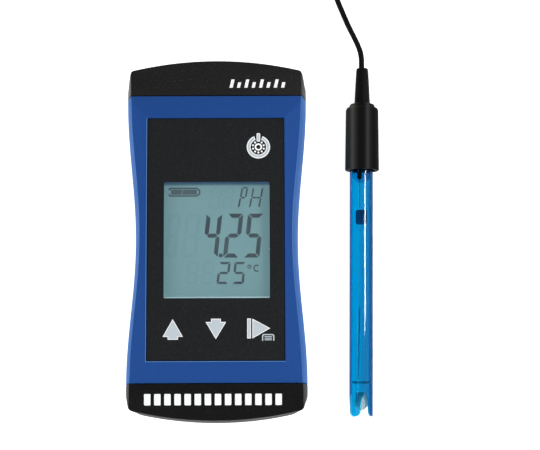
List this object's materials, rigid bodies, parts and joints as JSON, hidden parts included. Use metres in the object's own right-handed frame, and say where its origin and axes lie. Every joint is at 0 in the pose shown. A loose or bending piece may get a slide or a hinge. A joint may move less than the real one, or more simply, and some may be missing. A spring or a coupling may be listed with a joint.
{
  "type": "ph meter",
  "caption": "Handheld pH meter with a display and press keys in a waisted two-part housing with end caps, beside its glass electrode with a coiled cord and bayonet plug.",
  "frame": {"origin": "middle of the meter's flat back, which is its resting face", "axes": "+Z out of the display, +Y towards the meter's socket, +X to the right of the display"},
  "size_m": [0.0861, 0.1614, 0.028],
  "materials": {
    "housing_blue": "fine satin texture",
    "cap_black": "fine matt texture",
    "foil_black": "matt film",
    "window_clear": "clear",
    "display_glass": "satin polariser",
    "white_plastic": "plain",
    "board_green": "solder mask",
    "chip_black": "moulded",
    "steel": "plated",
    "nickel": "nickel plate",
    "gold": "gold plate",
    "cell_wrap": "printed sleeve",
    "shaft_blue": "clear tinted",
    "clear_glass": "clear",
    "rubber_black": "matt"
  },
  "bodies": {
    "meter": {"front_shell": "housing_blue", "rear_shell": "housing_blue", "battery_door": "housing_blue", "top_cap": "cap_black", "bottom_cap": "cap_black", "keypad_foil": "foil_black", "window_pane": "window_clear", "display_glass": "display_glass", "display_backlight": "white_plastic", "display_frame": "white_plastic", "socket_insulator": "white_plastic", "main_board": "board_green", "controller_chip": "chip_black", "input_chip": "chip_black", "switch_power": "chip_black", "switch_up": "chip_black", "switch_down": "chip_black", "switch_menu": "chip_black", "case_screw_1": "steel", "case_screw_2": "steel", "case_screw_3": "steel", "case_screw_4": "steel", "door_screw": "steel", "contact_link": "steel", "contact_spring_1": "steel", "contact_spring_2": "steel", "socket_shell": "nickel", "socket_nut": "nickel", "socket_contact": "gold", "battery_1": "cell_wrap", "battery_2": "cell_wrap", "display_connector": "rubber_black"},
    "key_power": {"key_power": "foil_black", "plunger_power": "white_plastic"},
    "key_up": {"key_up": "foil_black", "plunger_up": "white_plastic"},
    "key_down": {"key_down": "foil_black", "plunger_down": "white_plastic"},
    "key_menu": {"key_menu": "foil_black", "plunger_menu": "white_plastic"},
    "electrode": {"electrode_shaft": "shaft_blue", "electrode_head": "cap_black", "electrode_boot": "rubber_black", "inner_stem": "clear_glass", "glass_bulb": "clear_glass", "reference_wire": "steel", "shaft_plug": "shaft_blue", "inner_lead": "rubber_black", "inner_seal": "rubber_black", "diaphragm_ring": "white_plastic", "cord_tube": "rubber_black", "cord_coil": "rubber_black", "cord_tail": "rubber_black", "cord_tie": "rubber_black", "plug_boot": "rubber_black", "plug_body": "nickel", "plug_insulator": "white_plastic", "plug_pin": "gold"},
    "plug_ring": {"plug_ring": "nickel"}
  },
  "joints": [
    {"name": "press_power", "type": "slide", "parent": "meter", "child": "key_power", "axis": [0, 0, -1], "range_m": [0, 0.0005], "stiffness_N_per_m": 1500, "springref_m": -0.0003},
    {"name": "press_up", "type": "slide", "parent": "meter", "child": "key_up", "axis": [0, 0, -1], "range_m": [0, 0.0005], "stiffness_N_per_m": 1500, "springref_m": -0.0003},
    {"name": "press_down", "type": "slide", "parent": "meter", "child": "key_down", "axis": [0, 0, -1], "range_m": [0, 0.0005], "stiffness_N_per_m": 1500, "springref_m": -0.0003},
    {"name": "press_menu", "type": "slide", "parent": "meter", "child": "key_menu", "axis": [0, 0, -1], "range_m": [0, 0.0005], "stiffness_N_per_m": 1500, "springref_m": -0.0003},
    {"name": "electrode_lift", "type": "slide", "parent": "meter", "child": "electrode", "axis": [0, 0, 1], "range_m": [0, 0.08]},
    {"name": "plug_ring_turn", "type": "hinge", "parent": "electrode", "child": "plug_ring", "pos_m": [0, 0.0905, 0.0073], "axis": [-1, 0, 0], "continuous": true}
  ]
}
